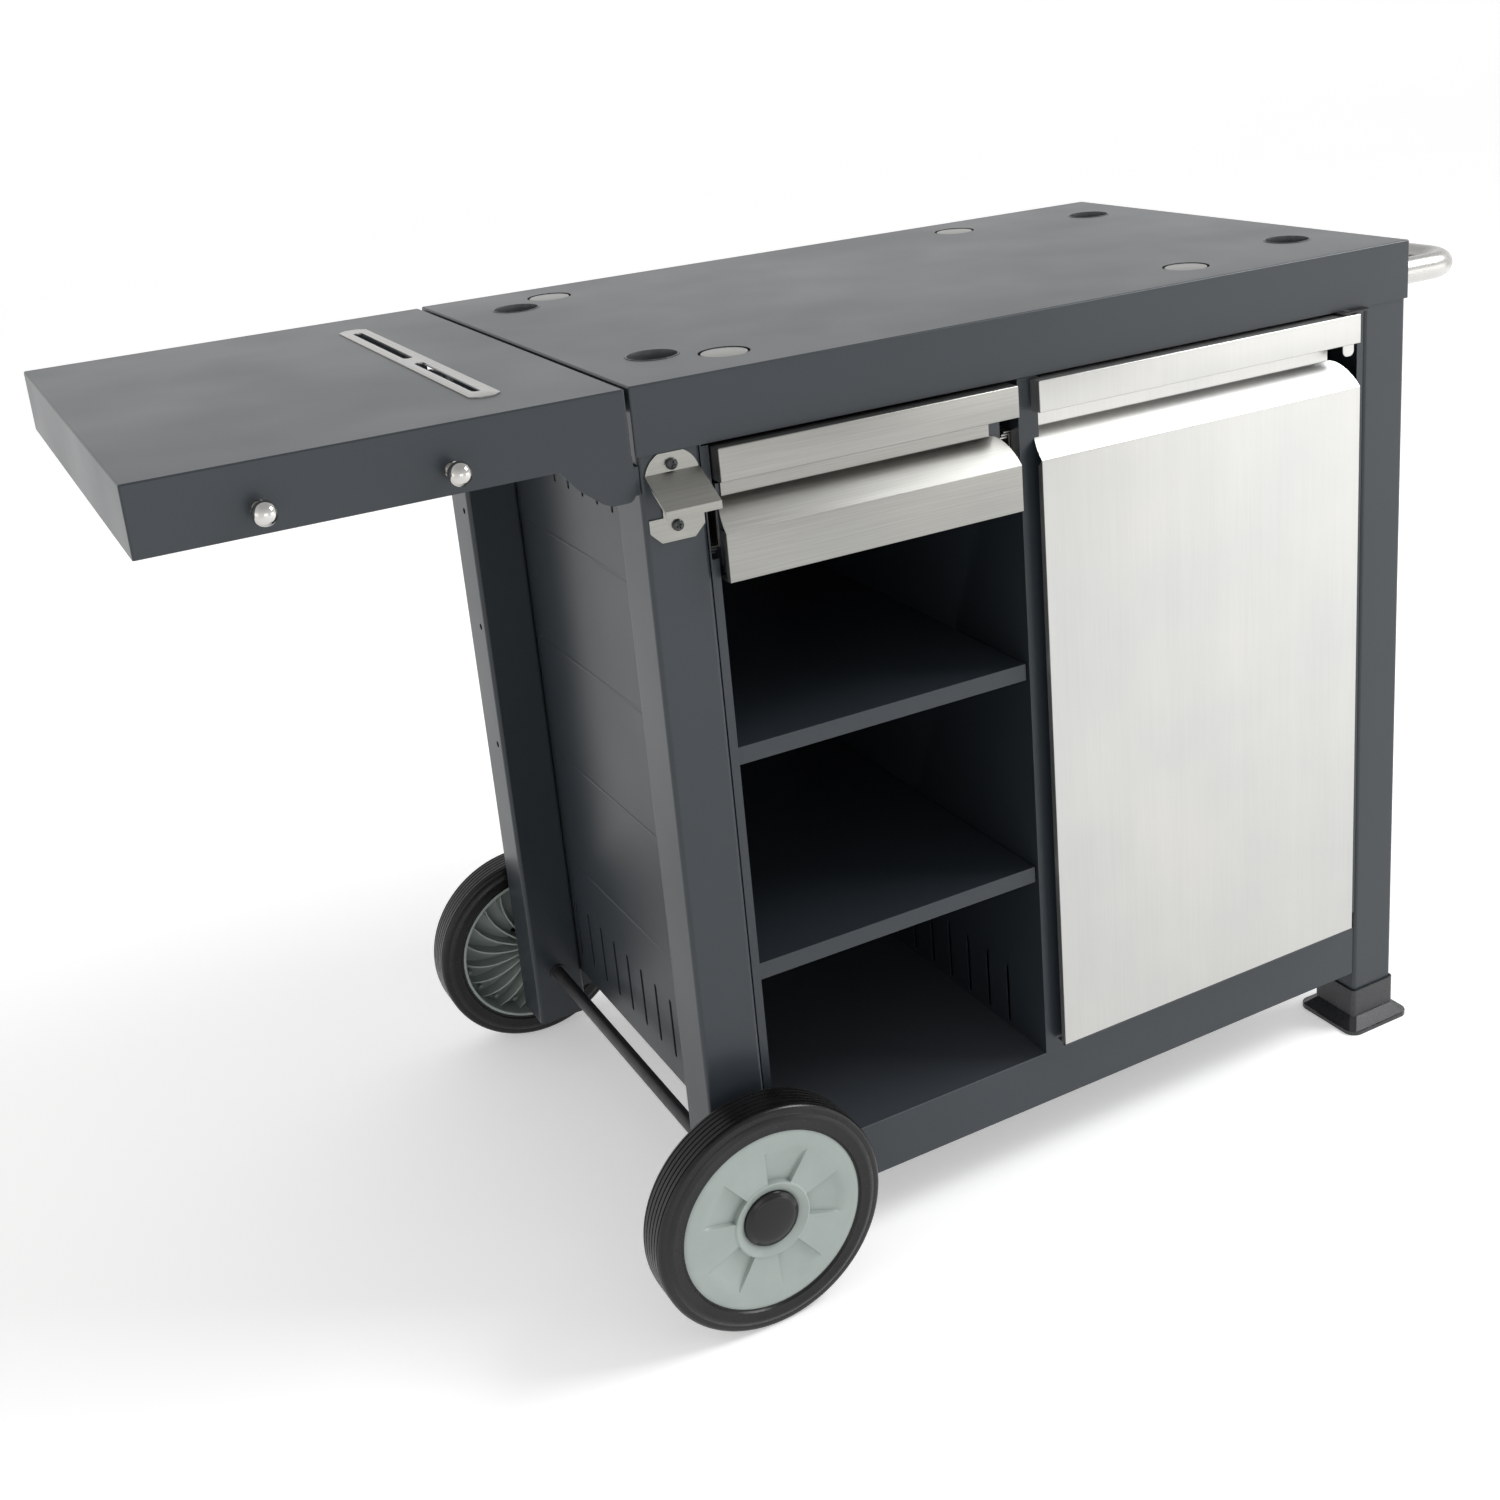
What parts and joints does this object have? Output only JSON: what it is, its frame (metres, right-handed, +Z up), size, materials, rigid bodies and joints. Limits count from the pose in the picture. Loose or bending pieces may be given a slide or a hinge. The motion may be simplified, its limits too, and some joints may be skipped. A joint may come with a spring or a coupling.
{
  "type": "griddle cart",
  "caption": "Rolling steel griddle cart with a flat deck, folding side shelf, drawer, open shelves, a cupboard door, a push handle, wheels and feet.",
  "frame": {"origin": "bottom centre of the whole cart's bounding box, on the ground, with the side shelf raised", "axes": "+X to the right along the front, from the side shelf to the push handle; +Y from the drawer front to the back; +Z up"},
  "size_m": [1.2416, 0.6, 0.8186],
  "materials": {
    "powder_coat": "charcoal textured powder coat",
    "brushed_stainless": "brushed stainless steel",
    "zinc_steel": "zinc-plated steel",
    "chrome_knob": "polished chrome",
    "black_screw": "black oxide",
    "black_plastic": "matte moulded plastic",
    "grey_plastic": "satin moulded plastic",
    "nylon": "natural nylon",
    "tyre_rubber": "solid rubber tread",
    "axle_black": "black painted steel"
  },
  "bodies": {
    "cabinet": {"axle_leg_bushes": "black_plastic", "axle_nuts": "zinc_steel", "axle_rod": "axle_black", "back_panel": "powder_coat", "bay_shelf_clips": "powder_coat", "bay_shelf_lower": "powder_coat", "bay_shelf_upper": "powder_coat", "bottle_opener": "brushed_stainless", "bottle_opener_screws": "black_screw", "bottom_rail_front": "powder_coat", "bottom_rail_rear": "powder_coat", "deck_braces": "powder_coat", "deck_top": "powder_coat", "divider_panel": "powder_coat", "door_hinge_lower": "zinc_steel", "door_hinge_pins": "zinc_steel", "door_hinge_upper": "zinc_steel", "door_magnet": "black_plastic", "drawer_runner_outer": "zinc_steel", "floor_panel": "powder_coat", "foot_cap_front": "black_plastic", "foot_cap_rear": "black_plastic", "foot_cup_screws": "black_screw", "foot_cups": "black_plastic", "frame_screws": "zinc_steel", "handle_bolts": "zinc_steel", "landing_discs": "brushed_stainless", "leg_front_left": "powder_coat", "leg_front_right": "powder_coat", "leg_rear_left": "powder_coat", "leg_rear_right": "powder_coat", "push_handle": "brushed_stainless", "side_panel_left": "powder_coat", "side_panel_right": "powder_coat", "side_shelf_brackets": "powder_coat"},
    "drawer": {"drawer_front": "brushed_stainless", "drawer_front_backer": "powder_coat", "drawer_box": "powder_coat", "drawer_runner_inner": "zinc_steel", "drawer_screws": "zinc_steel"},
    "runner_middle": {"drawer_runner_middle": "zinc_steel"},
    "door": {"door_skin": "brushed_stainless", "door_inner_pan": "powder_coat", "door_hinge_bushes": "nylon", "door_strike_plate": "zinc_steel"},
    "side_shelf": {"side_shelf_panel": "powder_coat", "slotted_plate": "brushed_stainless", "side_shelf_braces": "powder_coat", "tool_knobs": "chrome_knob", "side_shelf_hinge_studs": "zinc_steel"},
    "front_wheel": {"front_tyre": "tyre_rubber", "front_rim": "grey_plastic", "front_hub_cap": "black_plastic", "front_hub_bush": "nylon"},
    "rear_wheel": {"rear_tyre": "tyre_rubber", "rear_rim": "grey_plastic", "rear_hub_cap": "black_plastic", "rear_hub_bush": "nylon"}
  },
  "joints": [
    {"name": "drawer_slide", "type": "slide", "parent": "cabinet", "child": "drawer", "axis": [0, -1, 0], "range_m": [0, 0.3]},
    {"name": "runner_slide", "type": "slide", "parent": "cabinet", "child": "runner_middle", "axis": [0, -1, 0], "range_m": [0, 0.15]},
    {"name": "door_hinge", "type": "hinge", "parent": "cabinet", "child": "door", "pos_m": [0.44825, -0.252, 0.445], "axis": [0, 0, 1], "range_deg": [0, 110]},
    {"name": "side_shelf_fold", "type": "hinge", "parent": "cabinet", "child": "side_shelf", "pos_m": [-0.27775, 0, 0.747], "axis": [0, -1, 0], "range_deg": [0, 90]},
    {"name": "front_wheel_spin", "type": "hinge", "parent": "cabinet", "child": "front_wheel", "pos_m": [-0.23275, -0.28, 0.105], "axis": [0, 1, 0], "continuous": true},
    {"name": "rear_wheel_spin", "type": "hinge", "parent": "cabinet", "child": "rear_wheel", "pos_m": [-0.23275, 0.28, 0.105], "axis": [0, 1, 0], "continuous": true}
  ],
  "couplings": [
    {"joint": "runner_slide", "follows": "drawer_slide", "ratio": 0.5}
  ]
}
